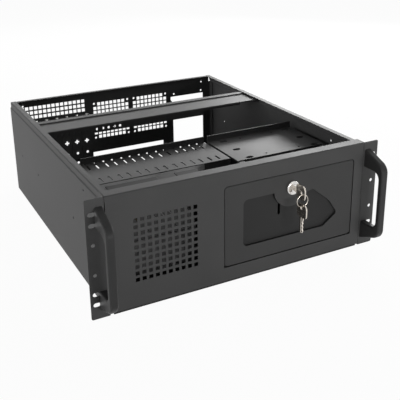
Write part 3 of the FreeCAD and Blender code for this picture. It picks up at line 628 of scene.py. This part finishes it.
# %% Turning
along_y = Matrix.Rotation(math.radians(-90), 4, "X")


def turned(shape, profile, centre, axis_turn, steps):
    """Spin a profile of (radius, height) points in millimetres about its own axis."""
    place = Matrix.Translation(centre) @ axis_turn
    corners = [shape.verts.new(place @ Vector((r * MM, 0, h * MM))) for r, h in profile]
    edges = [shape.edges.new(pair) for pair in zip(corners, corners[1:])]
    axis = (place.to_3x3() @ Vector((0, 0, 1))).normalized()
    bmesh.ops.spin(
        shape, geom=corners + edges, cent=centre, axis=axis, dvec=(0, 0, 0),
        angle=math.tau, steps=steps, use_merge=True, use_duplicate=False,
    )


print("turned parts lie along Y")

# %% [markdown]
# The lock's housing is turned: a rounded bezel in front of the door, a fine groove in its face,
# and a thread behind for the nut. A spin can't climb, so the thread is plain rings a pitch apart.
# Two flats keep the real one from turning in its hole, and here the points of the thread that
# stand past a flat are simply pressed back onto it.

# %% Lock housing
BEZEL_DEPTH = 6.0
BEZEL_HAIR = 0.01
BORE = 6.05
CAM_CLEARANCE = 0.03
THREAD_CREST = 9.5
THREAD_ROOT = 9.05
THREAD_PITCH = 1.0
THREAD_CHAMFER = 0.4
FLAT_HALF = 8.0 * MM
BEZEL = [
    (BORE, 0.4), (BORE + 0.4, 0.0), (8.6, 0.0), (8.8, 0.35), (9.2, 0.35), (9.4, 0.0),
    (10.0, 0.15), (10.6, 0.6), (10.9, 1.2), (11.0, 2.0), (11.0, BEZEL_DEPTH),
    (THREAD_CREST, BEZEL_DEPTH),
]

barrel_low, barrel_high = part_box("lock_barrel")
lock_x = (barrel_low.x + barrel_high.x) / 2
lock_z = (barrel_low.z + barrel_high.z) / 2
body_length = (barrel_high.y - barrel_low.y) / MM - BEZEL_DEPTH - CAM_CLEARANCE
body_end = BEZEL_DEPTH + body_length
profile = list(BEZEL)
height = BEZEL_DEPTH + THREAD_CHAMFER
while height + THREAD_PITCH < body_end:
    profile += [(THREAD_CREST, height), (THREAD_ROOT, height + THREAD_PITCH / 2)]
    height += THREAD_PITCH
profile += [(THREAD_CREST, height), (THREAD_CREST - THREAD_CHAMFER, body_end)]
profile += [(BORE, body_end), BEZEL[0]]
shape = bmesh.new()
turned(shape, profile, Vector((lock_x, barrel_low.y, lock_z)), along_y, 64)
behind_door = barrel_low.y + (BEZEL_DEPTH + BEZEL_HAIR) * MM
for vert in shape.verts:
    if vert.co.y > behind_door:
        vert.co.x = lock_x + max(-FLAT_HALF, min(FLAT_HALF, vert.co.x - lock_x))
finished("lock_housing", shape, chrome, "door", "lock_barrel")

# %% [markdown]
# A cross-head screw is easiest from the driver's side. The top starts as a grid of nine squares.
# Its border is drawn out to a round head, down the side, in under the head and along the shank,
# and then the five squares that make a plus are pushed down for the driver. The sizes of the
# head are shares of its radius and of its height, so one function makes every screw.

# %% One cross-head screw
ARM_LENGTH = 0.52
ARM_WIDTH = 0.16
OUTER_POINTS = 0.6
DRIVER_DEPTH = 0.6
DRIVER_TAPER = 0.75
HEAD_RINGS = ((0.82, 0.06), (0.97, 0.35), (1.0, 0.6), (1.0, 1.0))


def cross_screw(shape, top, direction, head_radius, head, shank_radius, length):
    """top is the middle of the head's face, direction points along the shank; millimetres."""
    fresh = bmesh.new()
    bmesh.ops.create_grid(fresh, x_segments=3, y_segments=3, size=1.0)
    arm_length = ARM_LENGTH * head_radius
    arm_width = ARM_WIDTH * head_radius
    for vert in fresh.verts:
        for axis in (0, 1):
            reach = arm_length if abs(vert.co[axis]) > OUTER_POINTS else arm_width
            vert.co[axis] = math.copysign(reach, vert.co[axis])
    plus = []
    for face in fresh.faces:
        middle = face.calc_center_median()
        if min(abs(middle.x), abs(middle.y)) < arm_width / 2:
            plus.append(face)
    stations = [(head_radius * wide, -deep * head) for wide, deep in HEAD_RINGS]
    stations += [(shank_radius, -head), (shank_radius, -head - length)]
    edges = ring_edges(fresh)
    for radius, depth in stations:
        drawn = bmesh.ops.extrude_edge_only(fresh, edges=edges)
        edges = ring_edges(fresh)
        for vert in only(bmesh.types.BMVert, drawn):
            flat = Vector((vert.co.x, vert.co.y, 0)).normalized() * radius
            vert.co = (flat.x, flat.y, depth)
    bmesh.ops.holes_fill(fresh, edges=ring_edges(fresh), sides=0)
    sunk = bmesh.ops.extrude_face_region(fresh, geom=plus)
    driver_floor = only(bmesh.types.BMVert, sunk)
    bmesh.ops.translate(fresh, verts=driver_floor, vec=(0, 0, -DRIVER_DEPTH * head))
    bmesh.ops.scale(fresh, verts=driver_floor, vec=(DRIVER_TAPER, DRIVER_TAPER, 1.0))
    turn = Vector((0, 0, -1)).rotation_difference(direction).to_matrix().to_4x4()
    place = Matrix.Translation(top) @ turn @ Matrix.Scale(MM, 4)
    bmesh.ops.transform(fresh, matrix=place, verts=fresh.verts)
    bmesh.ops.recalc_face_normals(fresh, faces=fresh.faces)
    made = bpy.data.meshes.new("one_screw")
    fresh.to_mesh(made)
    fresh.free()
    shape.from_mesh(made)
    bpy.data.meshes.remove(made)


print("a screw's driver cross is", ARM_LENGTH, "of its head")

# %% [markdown]
# Each group of screws is one node of loose solids. The place and length of every screw come
# from the box of its own solid, found by walking from vertex to vertex along the edges. The
# node's mesh is loose triangles, so a copy of it is welded first.

# %% Screws of the brackets, the handles and the cam
COPY_WELD = 0.00001


def loose_boxes(node):
    """Lowest and highest corner of each separate solid in a node."""
    copy = bmesh.new()
    copy.from_mesh(nodes[node].data)
    bmesh.ops.remove_doubles(copy, verts=copy.verts, dist=COPY_WELD)
    left = set(copy.verts)
    boxes = []
    while left:
        island, queue = set(), [left.pop()]
        while queue:
            vert = queue.pop()
            island.add(vert)
            for edge in vert.link_edges:
                other = edge.other_vert(vert)
                if other in left:
                    left.discard(other)
                    queue.append(other)
        low = Vector([min(v.co[axis] for v in island) for axis in range(3)])
        high = Vector([max(v.co[axis] for v in island) for axis in range(3)])
        boxes.append((low, high))
    copy.free()
    return boxes


def screws_like(name, node, body, direction, head_radius, head, shank_radius):
    shape = bmesh.new()
    axis = max(range(3), key=lambda i: abs(direction[i]))
    for low, high in loose_boxes(node):
        top = (low + high) / 2
        top[axis] = low[axis] if direction[axis] > 0 else high[axis]
        length = (high[axis] - low[axis]) / MM - head
        cross_screw(shape, top, direction, head_radius, head, shank_radius, length)
    finished(name, shape, zinc, body, node)


down = Vector((0, 0, -1))
forward = Vector((0, -1, 0))
screws_like("bracket_screws", "slot_cover_screws", "case", down, 2.9, 2.0, 1.5)
screws_like("grip_screws", "handle_screws", "case", forward, 3.8, 2.4, 2.0)
screws_like("cam_end_screw", "cam_screw", "lock", forward, 3.6, 2.2, 1.5)

# %% [markdown]
# The two signal lamps are moulded with a round dome in front and a collar that holds them behind
# the plate. They are turned pieces too, and their clear plastic wants a smooth dome.

# %% Signal lamps
LAMP_PROFILE = (
    (0.0, 0.0), (0.7, 0.1), (1.35, 0.4), (1.9, 0.85), (2.3, 1.5), (2.5, 2.3), (2.5, 3.7),
    (3.0, 3.7), (3.0, 4.9), (2.5, 4.9), (2.5, 7.7), (0.0, 7.7),
)
shape = bmesh.new()
for low, high in loose_boxes("status_leds"):
    tip = Vector(((low.x + high.x) / 2, low.y, (low.z + high.z) / 2))
    turned(shape, LAMP_PROFILE, tip, along_y, 32)
finished("signal_lamps", shape, lamp_plastic, "case", "status_leds")
